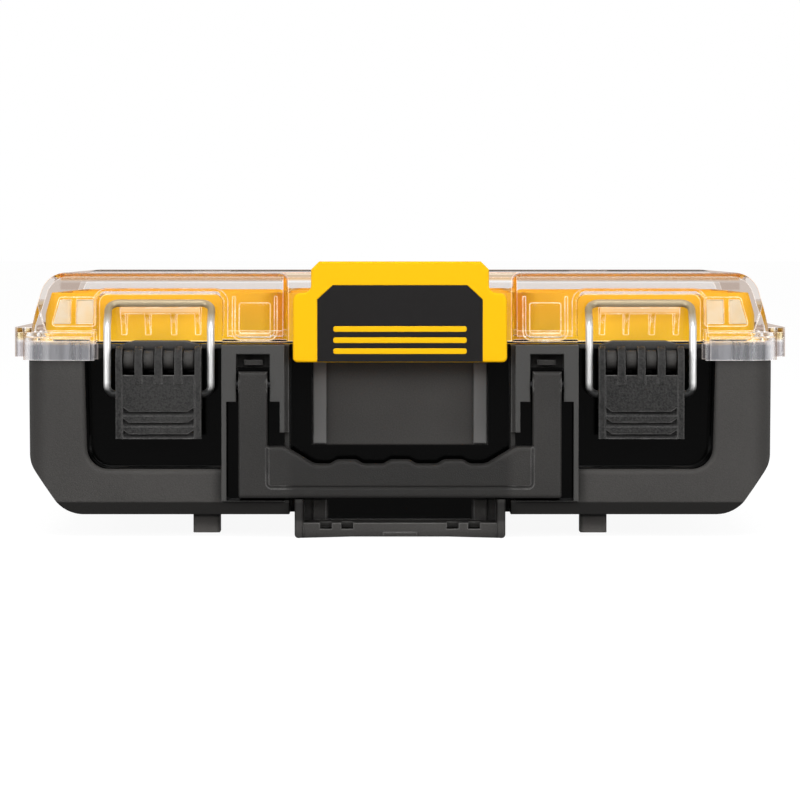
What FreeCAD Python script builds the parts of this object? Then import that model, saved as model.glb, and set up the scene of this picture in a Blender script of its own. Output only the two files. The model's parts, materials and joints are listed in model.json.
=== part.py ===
import FreeCAD, Part
import math
import os

from FreeCAD import Vector

os.makedirs("parts", exist_ok=True)

# Compartment storage box, in millimetres.
# Front is -Y, the viewer's right is +X, the box stands on z = 0.

# Whole box
overall_width = 372.0       # over the side flanges of the lid
overall_depth = 272.0       # clip face to the back of the hinge knuckles
cut_over = 1.0              # how far a cutting shape runs past the face it cuts
fixed_fit = 0.02            # radial room round a pin that stays put
running_fit = 0.06          # radial room round a pin that turns
move_gap = 0.4              # room between pieces that move past each other

# Tub
rim_z = 90.0                # top of the tub's rim
tub_bottom_z = 10.7         # underside, held up by the feet and the tray
tub_half = 174.2            # half width at the rim
tub_knee_half = 173.6       # half width at the knee of the side walls
tub_knee_z = 34.8
tub_knee_round = 13.0
tub_bottom_half = 156.3     # half width of the underside
tub_bottom_round = 16.0
tub_corner = 14.0           # upright corners
tub_wall = 2.6
tub_front_set = 7.2         # front face behind the clip's face
tub_back_set = 10.2         # rear face ahead of the knuckles' back
tub_bevel = 6.0             # bevel along the lower front edge
tub_bevel_run = 3.6
knee_share = 0.45           # how far a slanted wall's ends draw in per unit of inset

# Latch bays and centre recess, cut back from the front
bay_set = 30.0              # floor of the bays behind the clip's face
bay_outer_x = 147.6
bay_outer_lean = 1.6        # the bay's outer wall leans out towards the rim
bay_floor_z = 32.0
bay_round = 10.0
recess_half = 51.8
strip_x = 37.8              # raised upright strips on the recess wall
strip_width = 6.0
strip_thick = 1.6
strip_top_z = 81.0
strip_bottom_z = 43.2
bay_edge = 2.5              # rounded front edge of the bays

# Feet
foot_x = 92.0
foot_y = 84.0
foot_width = 12.6
foot_length = 18.0
foot_round = 2.0

# Carry handle and the socket frames that carry it
handle_set = 0.6            # handle face behind the clip's face
handle_thick = 12.6
handle_edge = 1.6           # rounded front edges
arm_x = 68.5                # centre of an arm
arm_width = 13.5
arm_end_z = 71.4            # pivot height
handle_bottom_z = 18.8
handle_corner = 1.2
grip_shoulder_z = 42.8
grip_shoulder_x = 54.0
grip_top_z = 34.4
grip_dip_x = 40.0
grip_round = 7.0
ridge_pitch = 25.0          # three ridges between the fingers
ridge_half = 7.7
ridge_slope = 3.2
ridge_height = 2.0
ridge_round = 4.0
groove_z = 23.8             # line cut into the front face, along the bottom and up to the arms
groove_width = 1.2
groove_depth = 0.5
groove_round = 2.0
handle_pin_radius = 2.0
slot_gap = 1.1              # between an arm and its socket
slot_roof = 4.2             # socket roof under the rim
slot_depth = 1.6            # room behind the arm
frame_wall = 6.8
frame_inner_x = 53.9
frame_front_set = 3.0
frame_bottom_z = 17.2
finger_room = 5.7           # side room below the socket
finger_top_z = 63.6
trough_gap = 1.4            # room below the grip
trough_rise = 6.5           # room above the grip's shoulders
arm_stop_height = 2.4       # small block over each arm in the socket
arm_stop_width = 8.8
arm_stop_z = 80.6
arm_stop_reach = 5.0

# Latches
latch_x = 112.6
lever_pivot_set = 10.0      # pivot behind the clip's face
lever_pivot_z = 82.8
lever_half = 20.0
lever_face_set = 3.5
lever_plate = 6.4
lever_bottom_z = 46.2
lever_window_z = 76.0       # lower edge of the windows between the fingers
lever_inset = 0.6           # plate behind the face of the rails and fingers
lever_edge = 0.4            # rounded edges of the front face
finger_bottom_z = 71.8
finger_half = 1.9
finger_pitch = 9.3
rail_width = 3.2
rail_depth = 11.6
rail_bottom_z = 60.0
grip_line_zs = [59.0, 53.9, 48.5]
grip_line_height = 2.0
grip_line_depth = 1.4
grip_line_half = 16.5
grip_corner_x = 2.8         # each line turns up at its ends
grip_corner_z = 1.9
lever_pin_radius = 1.5
knuckle_radius = 4.6
knuckle_half = 2.35
tab_half = 18.6
tab_top_half = 12.6
tab_height = 1.9
tab_gap = 0.5
wire_radius = 1.75
bail_half = 24.2
bail_bend = 5.0
bail_drop = 15.8            # bail pivot below the lever pivot
bail_knee_z = 99.0
bail_top_z = 109.3
bail_back = 12.0            # top bar behind the bail pivot
bail_end_gap = 0.8

# Lid
lid_top_z = 123.7
seal_height = 1.2
lid_shoulder_z = 99.0
lid_shoulder_half = 172.9
lid_top_half = 166.0        # where the side line would meet the top
lid_round = 12.0
lid_wall = 2.4
lid_front_set = 15.0        # lower front edge behind the clip's face
lid_front_lean = 7.5        # how far the front wall leans back
lid_back_lean = 5.0
lid_edge_round = 5.0
lid_corner = 14.0
rib_height = 5.0            # sealing rib over the tub's front wall
pocket_half = 29.2
pocket_top_z = 113.4
pocket_round = 4.0
notch_gap = 0.9             # lid notch outside the tub's recess
notch_edge = 4.0            # rounded edge of the lid round the clip's notch
pocket_edge = 1.5           # rounded edge round the bails' pockets
ledge_half = 18.8
ledge_thick = 3.0
ledge_gap = 0.25            # under the bail's bar
ledge_reach = 3.6           # ledge in front of the bar
gusset_offsets = [6.1, 17.4]
gusset_thick = 2.4
gusset_bottom_z = 94.4
skirt_bottom_z = 82.8
skirt_top_z = 95.8
skirt_wall = 2.4
skirt_end_x = 142.4
flange_front_set = 70.0
flange_back_set = 26.0
flange_top_z = 97.0
flange_round = 9.0
window_line = 1.3           # raised frames on the lid's front wall
window_reach = 1.0
window_x = 68.1             # frame beside the clip, open at the top
window_half = 10.5
window_round = 4.0
window_bottom_z = 92.1
window_top_z = 112.5
pad_half = 7.3              # raised pad inside it, with a slot below
pad_bottom_z = 95.4
pad_top_z = 109.5
pad_round = 1.0
pad_reach = 0.5
pad_slot_z = 94.3
pad_slot_height = 1.0
corner_window_x = 153.0     # frame over a front corner, with a bar down its middle
corner_window_half = 10.4
corner_window_slant = 3.6   # its outer side leans in like the lid's
corner_window_round = 1.6
corner_window_bottom_z = 98.6
corner_window_top_z = 112.2

# Lid hinge
hinge_x = 100.0
hinge_z = 86.0
hinge_radius = 4.8
hinge_pin_radius = 1.5
hinge_lid_width = 19.4
hinge_tub_width = 10.0
hinge_gap = 0.3
hinge_arm_top_z = 101.0

# Cups
cup_columns = 3
cup_rows = 2
cup_half_span = 168.6       # half the width of all the columns
cup_front_gap = 1.9         # behind the tub's front wall
cup_back_gap = 4.8          # ahead of the tub's rear wall
cup_gap = 0.8               # between cups
cup_wall = 1.6
cup_top_z = 114.0
cup_lift = 0.3              # over the tub floor
cup_corner = 9.0
cup_floor_round = 4.0       # rounded turn from the floor into the walls
cup_side_gap = 1.2
cup_lid_gap = 1.0

# Stacking clip
clip_top_z = 129.0
clip_bottom_z = 82.1
clip_half = 49.8
clip_top_half = 41.4
clip_shoulder_z = 114.4
clip_shoulder_round = 3.6
clip_chamfer = 3.8
clip_corner = 2.2
clip_thick = 8.6
clip_edge = 1.0
clip_shell = 3.2
clip_rib_x = 22.0
clip_rib = 2.4
hook_height = 9.0
hook_reach = 13.0
hook_lip = 3.4
clip_pin_set = 16.5
clip_pin_z = 97.0
clip_pin_radius = 1.5
clip_ear_radius = 4.2
clip_ear_x = 38.0
clip_ear_width = 4.0
lug_gap = 0.4
lug_width = 4.0
lug_radius = 4.0
lug_bottom_z = 84.0
plate_half = 38.4
plate_bottom_z = 82.4
plate_top_z = 117.9
plate_chamfer_x = 7.2
plate_chamfer_z = 6.6
plate_thick = 1.6
plate_gap = 0.1
bar_half = 31.0
bar_height = 2.6
bar_round = 1.0
bar_zs = [97.6, 92.4, 87.3]
spring_half = 7.0
spring_thick = 0.6
spring_top_z = 92.0
spring_bottom_z = 84.4
spring_gap = 0.3

# Catch tray under the clip recess
tray_half = 49.2
tray_side = 4.0
tray_top_z = 18.0
tray_shelf_z = 7.0
tray_lip_z = 4.2
tray_front_set = 4.0
tray_lip_wall = 3.0
tray_tab_half = 8.0         # raised tab in the middle of the lip
tray_tab_bottom_z = 0.8
tray_tab_top_z = 2.6
tray_tab_reach = 0.6
tray_arch = 0.6             # the lip is arched a little off the ground
tray_slot_width = 5.6
tray_slot_length = 12.0
tray_slot_xs = [24.6, 34.6]
tray_edge = 1.4
tray_foot_round = 1.8

# Places worked out from the sizes above
front_y = -overall_depth / 2
back_y = overall_depth / 2
tub_front_y = front_y + tub_front_set
tub_back_y = back_y - tub_back_set
bay_y = front_y + bay_set
frame_front_y = front_y + frame_front_set
handle_front_y = front_y + handle_set
handle_back_y = handle_front_y + handle_thick
handle_pivot_y = handle_front_y + handle_thick / 2
slot_back_y = handle_back_y + slot_depth
slot_inner_x = arm_x - arm_width / 2 - slot_gap
slot_outer_x = arm_x + arm_width / 2 + slot_gap
frame_outer_x = slot_outer_x + frame_wall
slot_top_z = rim_z - slot_roof
lever_pivot_y = front_y + lever_pivot_set
lever_face_y = front_y + lever_face_set
lever_barrel = lever_pivot_set - lever_face_set
bail_pivot_z = lever_pivot_z - bail_drop
bail_foot_bend = bail_half - lever_half - move_gap
bail_bar_y = lever_pivot_y + bail_back
lid_bottom_z = rim_z + seal_height
lid_front_y = front_y + lid_front_set
ledge_top_z = bail_top_z - wire_radius - ledge_gap
notch_half = recess_half + notch_gap
skirt_inner_x = tub_half + move_gap
skirt_inner_y = tub_front_y - move_gap
hinge_y = back_y - hinge_radius
clip_back_y = front_y + clip_thick
clip_pin_y = front_y + clip_pin_set
lug_inner_x = clip_ear_x + clip_ear_width + lug_gap
lug_outer_x = lug_inner_x + lug_width
tray_front_y = front_y + tray_front_set


def unit(vector):
    return vector * (1 / vector.Length)


# A closed wire through points, with an arc of the given radius at each corner (0 leaves it sharp)
def rounded_wire(points, radii):
    corners = []
    count = len(points)
    for index in range(count):
        point = points[index]
        radius = radii[index]
        to_last = unit(points[index - 1] - point)
        to_next = unit(points[(index + 1) % count] - point)
        if radius == 0:
            corners.append((point, None, point))
            continue
        half_angle = to_last.getAngle(to_next) / 2
        run = radius / math.tan(half_angle)
        bulge = unit(to_last + to_next) * (radius / math.sin(half_angle) - radius)
        corners.append((point + to_last * run, point + bulge, point + to_next * run))
    edges = []
    for index in range(count):
        start = corners[index - 1][2]
        first, middle, last = corners[index]
        if not start.isEqual(first, Part.Precision.confusion()):
            edges.append(Part.LineSegment(start, first).toShape())
        if middle is not None:
            edges.append(Part.Arc(first, middle, last).toShape())
    return Part.Wire(edges)


def place(plane, across, up, along):
    if plane == "xz":
        return Vector(across, along, up)
    if plane == "yz":
        return Vector(along, across, up)
    return Vector(across, up, along)


# An outline drawn in a plane and pushed from start to end along the plane's normal
def prism(plane, points, start, end, radii=None):
    flat = [place(plane, across, up, start) for across, up in points]
    corner_radii = radii if radii else [0] * len(points)
    face = Part.Face(rounded_wire(flat, corner_radii))
    return face.extrude(place(plane, 0, 0, end - start))


def block(x_start, x_end, y_start, y_end, z_start, z_end):
    corner = Vector(x_start, y_start, z_start)
    return Part.makeBox(x_end - x_start, y_end - y_start, z_end - z_start, corner)


def rod(x_start, x_end, y, z, radius):
    return Part.makeCylinder(radius, x_end - x_start, Vector(x_start, y, z), Vector(1, 0, 0))


def plan(half, y_start, y_end, z_start, z_end, radius):
    points = [(-half, y_start), (half, y_start), (half, y_end), (-half, y_end)]
    return prism("xy", points, z_start, z_end, [radius] * len(points))


def mirrored(points):
    return points + [(-across, up) for across, up in reversed(points)]


def both_sides(shape):
    return [shape, shape.mirror(Vector(0, 0, 0), Vector(1, 0, 0))]


def join(shapes):
    return shapes[0].multiFuse(shapes[1:]).removeSplitter()


def round_edges(shape, radius, wanted):
    return shape.makeFillet(radius, [edge for edge in shape.Edges if wanted(edge)])


def is_near(value, level):
    return abs(value - level) < Part.Precision.confusion() * (1 + abs(level))


# Every edge that lies wholly in the plane y = level
def edges_at_y(level):
    def wanted(edge):
        return is_near(edge.BoundBox.YMin, level) and is_near(edge.BoundBox.YMax, level)
    return wanted


def edges_at_z(level):
    def wanted(edge):
        return is_near(edge.BoundBox.ZMin, level) and is_near(edge.BoundBox.ZMax, level)
    return wanted


# Round wire bent along points, with an arc of its own radius at each inner point
def bent_wire(points, bends, radius):
    edges = []
    start = points[0]
    for index, bend in enumerate(bends, 1):
        point = points[index]
        to_last = unit(points[index - 1] - point)
        to_next = unit(points[index + 1] - point)
        half_angle = to_last.getAngle(to_next) / 2
        run = bend / math.tan(half_angle)
        bulge = unit(to_last + to_next) * (bend / math.sin(half_angle) - bend)
        edges.append(Part.LineSegment(start, point + to_last * run).toShape())
        edges.append(Part.Arc(point + to_last * run, point + bulge, point + to_next * run).toShape())
        start = point + to_next * run
    edges.append(Part.LineSegment(start, points[-1]).toShape())
    circle = Part.Circle(points[0], points[1] - points[0], radius).toShape()
    return Part.Wire(edges).makePipeShell([Part.Wire(circle)], True, False)


# Tub shape seen from the front, drawn in by inset on every slanted and upright side
def tub_form(inset, y_start, y_end, z_start, z_end):
    side = [
        (tub_bottom_half - inset * knee_share, z_start),
        (tub_knee_half - inset, tub_knee_z + inset * knee_share),
        (tub_half - inset, z_end),
    ]
    radii = [tub_bottom_round, tub_knee_round, 0]
    front = prism("xz", mirrored(side), y_start, y_end, radii + radii[::-1])
    corner = tub_corner - inset
    return front.common(plan(tub_half - inset, y_start, y_end, z_start, z_end, corner))


def tub_cavity(inset, z_start, z_end):
    y_start = bay_y + inset
    y_end = tub_back_y - inset
    return tub_form(inset, y_start, y_end, z_start, z_end)


def tub_frames():
    return both_sides(block(frame_inner_x, frame_outer_x, frame_front_y, bay_y, frame_bottom_z, rim_z))


def latch_bay():
    points = [
        (frame_outer_x, bay_floor_z),
        (bay_outer_x - bay_outer_lean, bay_floor_z),
        (bay_outer_x, rim_z + cut_over),
        (frame_outer_x, rim_z + cut_over),
    ]
    return prism("xz", points, frame_front_y - cut_over, bay_y, [0, bay_round, 0, 0])


# Socket of a handle arm: narrow at the pivot, wider lower down where fingers reach behind the grip
def handle_slot():
    y_start = frame_front_y - cut_over
    narrow = block(slot_inner_x, slot_outer_x, y_start, slot_back_y, handle_bottom_z, slot_top_z)
    wide_inner = arm_x - arm_width / 2 - finger_room
    wide_outer = arm_x + arm_width / 2 + finger_room
    trough_bottom = handle_bottom_z - trough_gap
    trough_top = grip_shoulder_z + trough_rise
    wide = block(wide_inner, wide_outer, y_start, slot_back_y, trough_bottom, finger_top_z)
    trough = block(0, wide_outer, y_start, slot_back_y, trough_bottom, trough_top)
    return join([narrow, wide, trough])


def lever_knuckles(centre_x):
    knuckles = []
    for step in (-3, -1, 1, 3):
        x = centre_x + step * finger_pitch / 2
        barrel = rod(x - knuckle_half, x + knuckle_half, lever_pivot_y, lever_pivot_z, knuckle_radius)
        arm = block(x - knuckle_half, x + knuckle_half, lever_pivot_y, bay_y,
                    lever_pivot_z - knuckle_radius, lever_pivot_z + knuckle_radius)
        knuckles.append(barrel.fuse(arm))
    tab_z = lever_pivot_z + lever_barrel + tab_gap
    tab = [
        (centre_x - tab_half, lever_pivot_z),
        (centre_x + tab_half, lever_pivot_z),
        (centre_x + tab_half, tab_z),
        (centre_x + tab_top_half, tab_z + tab_height),
        (centre_x - tab_top_half, tab_z + tab_height),
        (centre_x - tab_half, tab_z),
    ]
    knuckles.append(prism("xz", tab, lever_pivot_y + lever_barrel + move_gap, bay_y))
    return knuckles


# Hinge knuckles of the tub stand on the rear wall, one each side of the lid's knuckle
def hinge_knuckles():
    knuckles = []
    for side in (-1, 1):
        inner = hinge_x + side * (hinge_lid_width / 2 + hinge_gap)
        outer = inner + side * hinge_tub_width
        x_start = min(inner, outer)
        x_end = max(inner, outer)
        barrel = rod(x_start, x_end, hinge_y, hinge_z, hinge_radius)
        web = [
            (tub_back_y - tub_wall / 2, hinge_z),
            (hinge_y, hinge_z),
            (hinge_y, hinge_z - hinge_radius),
            (tub_back_y - tub_wall / 2, hinge_z - 2 * hinge_radius - tub_wall),
        ]
        knuckles.append(barrel.fuse(prism("yz", web, x_start, x_end)))
    return knuckles


# Lugs that carry the clip's pin, standing on the recess wall behind the clip
def clip_lugs():
    below_rim = rim_z - move_gap
    web = [
        (clip_pin_y - lug_radius, lug_bottom_z),
        (bay_y + tub_wall / 2, lug_bottom_z),
        (bay_y + tub_wall / 2, below_rim),
        (bay_y - move_gap, below_rim),
        (bay_y - move_gap, clip_pin_z - lug_radius),
        (clip_pin_y + lug_radius, clip_pin_z),
        (clip_pin_y - lug_radius, clip_pin_z),
    ]
    barrel = rod(lug_inner_x, lug_outer_x, clip_pin_y, clip_pin_z, lug_radius)
    return both_sides(barrel.fuse(prism("yz", web, lug_inner_x, lug_outer_x)))


def tub_feet():
    feet = []
    for side_x in (-1, 1):
        for side_y in (-1, 1):
            x = side_x * foot_x
            y = side_y * foot_y
            points = [
                (x - foot_width / 2, y - foot_length / 2),
                (x + foot_width / 2, y - foot_length / 2),
                (x + foot_width / 2, y + foot_length / 2),
                (x - foot_width / 2, y + foot_length / 2),
            ]
            feet.append(prism("xy", points, 0, tub_bottom_z + tub_wall / 2, [foot_round] * len(points)))
    return feet


def recess_strips():
    strip = block(strip_x - strip_width / 2, strip_x + strip_width / 2, bay_y - strip_thick, bay_y,
                  strip_bottom_z, strip_top_z)
    return both_sides(strip)


def arm_stop():
    z_end = arm_stop_z + arm_stop_height
    return block(arm_x - arm_stop_width / 2, arm_x + arm_stop_width / 2,
                 slot_back_y - arm_stop_reach, slot_back_y, arm_stop_z, z_end)


def tub_bores():
    bores = []
    pin = hinge_pin_radius + fixed_fit
    half = hinge_lid_width / 2 + hinge_gap + hinge_tub_width + cut_over
    bores += both_sides(rod(hinge_x - half, hinge_x + half, hinge_y, hinge_z, pin))
    pin = lever_pin_radius + fixed_fit
    bores += both_sides(rod(latch_x - lever_half, latch_x + lever_half, lever_pivot_y, lever_pivot_z, pin))
    pin = handle_pin_radius + fixed_fit
    reach = frame_wall / 2
    bores += both_sides(rod(slot_inner_x - reach, slot_outer_x + reach, handle_pivot_y, arm_end_z, pin))
    pin = clip_pin_radius + fixed_fit
    bores += both_sides(rod(0, lug_outer_x + cut_over, clip_pin_y, clip_pin_z, pin))
    return bores


def is_bay_edge(edge):
    box = edge.BoundBox
    if not edges_at_y(tub_front_y)(edge) or box.ZMin < bay_floor_z - cut_over:
        return False
    reach = max(abs(box.XMin), abs(box.XMax))
    return min(abs(box.XMin), abs(box.XMax)) > slot_outer_x and reach < bay_outer_x + cut_over


def base_tub():
    body = tub_form(0, tub_front_y, tub_back_y, tub_bottom_z, rim_z)
    bevel = [
        (tub_front_y - cut_over, tub_bottom_z - cut_over),
        (tub_front_y + tub_bevel_run, tub_bottom_z - cut_over),
        (tub_front_y + tub_bevel_run, tub_bottom_z),
        (tub_front_y, tub_bottom_z + tub_bevel),
        (tub_front_y - cut_over, tub_bottom_z + tub_bevel),
    ]
    body = body.cut(prism("yz", bevel, -tub_half, tub_half))
    body = join([body] + tub_frames())
    recess = block(-recess_half, recess_half, frame_front_y - cut_over, bay_y,
                   tub_bottom_z - cut_over, rim_z + cut_over)
    cuts = both_sides(latch_bay()) + both_sides(handle_slot()) + [recess]
    cuts.append(tub_cavity(tub_wall, tub_bottom_z + tub_wall, rim_z + cut_over))
    body = round_edges(body.cut(cuts), bay_edge, is_bay_edge)
    added = tub_feet() + clip_lugs() + recess_strips() + both_sides(arm_stop())
    for knuckle in hinge_knuckles() + lever_knuckles(latch_x):
        added += both_sides(knuckle)
    return join([body] + added).cut(tub_bores())


# Lid shape drawn in by inset, from the side and from the front
def lid_form(inset, z_start):
    top = lid_top_z - inset
    side = [
        (tub_half - inset, z_start),
        (lid_shoulder_half - inset, lid_shoulder_z),
        (lid_top_half - inset, top),
    ]
    round_top = lid_round - inset
    front = prism("xz", mirrored(side), lid_front_y + inset, tub_back_y - inset,
                  [0, 0, round_top, round_top, 0, 0])
    profile = [
        (lid_front_y + inset, z_start),
        (lid_front_y + lid_front_lean + inset, top),
        (tub_back_y - lid_back_lean - inset, top),
        (tub_back_y - inset, lid_shoulder_z),
        (tub_back_y - inset, z_start),
    ]
    edge = lid_edge_round - inset
    across = prism("yz", profile, -tub_half, tub_half, [0, edge, edge, 0, 0])
    corner = lid_corner - inset
    outline = plan(tub_half - inset, lid_front_y + inset, tub_back_y - inset, z_start, top, corner)
    return front.common(across).common(outline)


# Spaces let into the lid's front: one for each bail and one for the clip, grown by a wall
def lid_recesses(wall):
    z_start = lid_bottom_z - 2 * cut_over
    y_start = front_y - cut_over
    half = pocket_half + wall
    points = [
        (latch_x - half, z_start),
        (latch_x + half, z_start),
        (latch_x + half, pocket_top_z + wall),
        (latch_x - half, pocket_top_z + wall),
    ]
    radius = pocket_round + wall
    pocket = prism("xz", points, y_start, bay_y + wall, [0, 0, radius, radius])
    notch = block(-notch_half - wall, notch_half + wall, y_start, bay_y + wall, z_start, lid_top_z + cut_over)
    return both_sides(pocket) + [notch]


# Ledge under a bail's bar, with gussets down the pocket's wall
def latch_ledge():
    y_front = bail_bar_y - ledge_reach
    back = bay_y + lid_wall / 2
    ledge_z = ledge_top_z - ledge_thick
    pieces = [block(latch_x - ledge_half, latch_x + ledge_half, y_front, back, ledge_z, ledge_top_z)]
    for offset in gusset_offsets:
        for side in (-1, 1):
            x = latch_x + side * offset
            points = [
                (y_front, ledge_top_z - ledge_thick / 2),
                (y_front, ledge_z),
                (bay_y - lid_wall, gusset_bottom_z),
                (back, gusset_bottom_z),
                (back, ledge_top_z - ledge_thick / 2),
            ]
            pieces.append(prism("yz", points, x - gusset_thick / 2, x + gusset_thick / 2))
    return join(pieces)


# Skirt round a front corner of the tub, and the wider flange along the side behind it
def lid_skirt():
    flange_y = front_y + flange_front_set
    outer_x = skirt_inner_x + skirt_wall
    outer_y = skirt_inner_y - skirt_wall
    outer = [(skirt_end_x, outer_y), (outer_x, outer_y), (outer_x, flange_y + skirt_wall),
             (skirt_end_x, flange_y + skirt_wall)]
    corner = tub_corner + move_gap + skirt_wall
    skirt = prism("xy", outer, skirt_bottom_z, skirt_top_z, [0, corner, 0, 0])
    room_end_x = skirt_end_x + skirt_wall
    room_end_y = flange_y + 2 * skirt_wall
    inner = [(room_end_x, skirt_inner_y), (skirt_inner_x, skirt_inner_y),
             (skirt_inner_x, room_end_y), (room_end_x, room_end_y)]
    z_start = skirt_bottom_z - cut_over
    z_end = skirt_top_z - skirt_wall
    room = prism("xy", inner, z_start, z_end, [0, corner - skirt_wall, 0, 0])
    inside = block(0, skirt_inner_x, bay_y - move_gap, back_y, z_start, z_end)
    return skirt.cut([room, inside, lid_form(lid_wall / 2, lid_bottom_z - cut_over)])


def lid_flange():
    y_start = front_y + flange_front_set
    y_end = back_y - flange_back_set
    half = overall_width / 2
    inner_x = tub_half - lid_wall / 2
    outer = [(inner_x, y_start), (half, y_start), (half, y_end), (inner_x, y_end)]
    flange = prism("xy", outer, skirt_bottom_z, flange_top_z, [0, flange_round, flange_round, 0])
    room_round = flange_round - skirt_wall
    inner = [(inner_x - cut_over, y_start + skirt_wall), (half - skirt_wall, y_start + skirt_wall),
             (half - skirt_wall, y_end - skirt_wall), (inner_x - cut_over, y_end - skirt_wall)]
    z_start = skirt_bottom_z - cut_over
    room = prism("xy", inner, z_start, flange_top_z - skirt_wall, [0, room_round, room_round, 0])
    beside = block(0, skirt_inner_x, y_start - cut_over, y_end + cut_over, z_start, lid_bottom_z)
    return flange.cut(room).cut(beside).cut(lid_form(lid_wall / 2, lid_bottom_z - cut_over))


# Low rib that carries the seal along the tub's rim, where the lid's own wall stands further forward
def rim_ring(inset, wall, z_start, z_end):
    outer = plan(tub_half - inset, bay_y + inset, tub_back_y - inset, z_start, z_end, lid_corner - inset)
    depth = inset + wall
    inner = plan(tub_half - depth, bay_y + depth, tub_back_y - depth, z_start - cut_over, z_end + cut_over,
                 lid_corner - depth)
    return outer.cut(inner)


# A shape standing out from the lid's leaning front wall by reach
def on_front_wall(points, radii, reach):
    lean_y = lid_front_y + lid_front_lean
    slab = [
        (lid_front_y - reach, lid_bottom_z),
        (lean_y - reach, lid_top_z),
        (lean_y + lid_wall / 2, lid_top_z),
        (lid_front_y + lid_wall / 2, lid_bottom_z),
    ]
    shape = prism("xz", points, lid_front_y - reach, lean_y + lid_wall, radii)
    return shape.common(prism("yz", slab, 0, tub_half))


def upright(x_start, x_end, z_start, z_end):
    return [(x_start, z_start), (x_end, z_start), (x_end, z_end), (x_start, z_end)]


# Frame beside the clip: a U of raised line round a pad
def clip_window():
    outer = upright(window_x - window_half, window_x + window_half, window_bottom_z, window_top_z)
    half = window_half - window_line
    inner = upright(window_x - half, window_x + half, window_bottom_z + window_line, window_top_z + cut_over)
    inner_round = window_round - window_line
    frame = on_front_wall(outer, [window_round, window_round, 0, 0], window_reach)
    frame = frame.cut(on_front_wall(inner, [inner_round, inner_round, 0, 0], window_reach + cut_over))
    pad = upright(window_x - pad_half, window_x + pad_half, pad_bottom_z, pad_top_z)
    return [frame, on_front_wall(pad, [pad_round] * len(pad), pad_reach)]


# Frame over a front corner, with a bar down its middle
def corner_window():
    shapes = []
    for inset, reach in ((0, window_reach), (window_line, window_reach + cut_over)):
        half = corner_window_half - inset
        points = upright(corner_window_x - half, corner_window_x + half, corner_window_bottom_z + inset,
                         corner_window_top_z - inset)
        points[2] = (points[2][0] - corner_window_slant, points[2][1])
        shapes.append(on_front_wall(points, [corner_window_round - inset] * len(points), reach))
    bar = upright(corner_window_x - window_line, corner_window_x + window_line, corner_window_bottom_z,
                  corner_window_top_z)
    return [shapes[0].cut(shapes[1]), on_front_wall(bar, None, window_reach)]


# Where the lid's outer skin turns into the notch for the clip
def is_notch_edge(edge):
    box = edge.BoundBox
    if not is_near(abs(box.XMin), notch_half) or not is_near(abs(box.XMax), notch_half):
        return False
    return box.YMin < bay_y - lid_wall and box.ZMax > lid_bottom_z + lid_wall


# Where the leaning front wall turns into a bail's pocket
def is_pocket_edge(edge):
    box = edge.BoundBox
    near_x = min(abs(box.XMin), abs(box.XMax))
    far_x = max(abs(box.XMin), abs(box.XMax))
    half = pocket_half + lid_wall
    if near_x < latch_x - half or far_x > latch_x + half or box.ZMax > lid_top_z - lid_wall:
        return False
    slope = lid_front_lean / (lid_top_z - lid_bottom_z)
    for vertex in edge.Vertexes:
        wall_y = lid_front_y + (vertex.Z - lid_bottom_z) * slope
        if not is_near(vertex.Y, wall_y):
            return False
    return box.ZMax > lid_bottom_z


def hinge_arm():
    x_start = hinge_x - hinge_lid_width / 2
    x_end = hinge_x + hinge_lid_width / 2
    barrel = rod(x_start, x_end, hinge_y, hinge_z, hinge_radius)
    back = hinge_y + hinge_radius
    points = [
        (tub_back_y - lid_wall / 2, lid_bottom_z),
        (hinge_y, lid_bottom_z),
        (hinge_y, hinge_z),
        (back, hinge_z),
        (back, lid_bottom_z),
        (tub_back_y, hinge_arm_top_z),
        (tub_back_y - lid_wall / 2, hinge_arm_top_z),
    ]
    return barrel.fuse(prism("yz", points, x_start, x_end))


def lid_cover():
    solid = lid_form(0, lid_bottom_z).cut(lid_recesses(0))
    solid = round_edges(solid, notch_edge, is_notch_edge)
    solid = round_edges(solid, pocket_edge, is_pocket_edge)
    room = lid_form(lid_wall, lid_bottom_z - cut_over).cut(lid_recesses(lid_wall))
    shell = solid.cut(room)
    added = [rim_ring(0, lid_wall, lid_bottom_z, lid_bottom_z + rib_height)]
    sill = block(-tub_half, tub_half, lid_front_y, bay_y + lid_wall, lid_bottom_z, lid_bottom_z + lid_wall)
    added.append(sill.common(solid))
    for piece in [latch_ledge(), lid_skirt(), lid_flange(), hinge_arm()] + clip_window() + corner_window():
        added += both_sides(piece)
    half = hinge_lid_width / 2 + cut_over
    cuts = both_sides(rod(hinge_x - half, hinge_x + half, hinge_y, hinge_z, hinge_pin_radius + running_fit))
    slot = block(window_x - pad_half, window_x + pad_half, front_y, lid_front_y + lid_front_lean + lid_wall,
                 pad_slot_z - pad_slot_height / 2, pad_slot_z + pad_slot_height / 2)
    return join([shell] + added).cut(cuts + both_sides(slot))


def lid_seal():
    inset = fixed_fit
    return rim_ring(inset, lid_wall - 2 * inset, rim_z + ledge_gap, lid_bottom_z)


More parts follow.
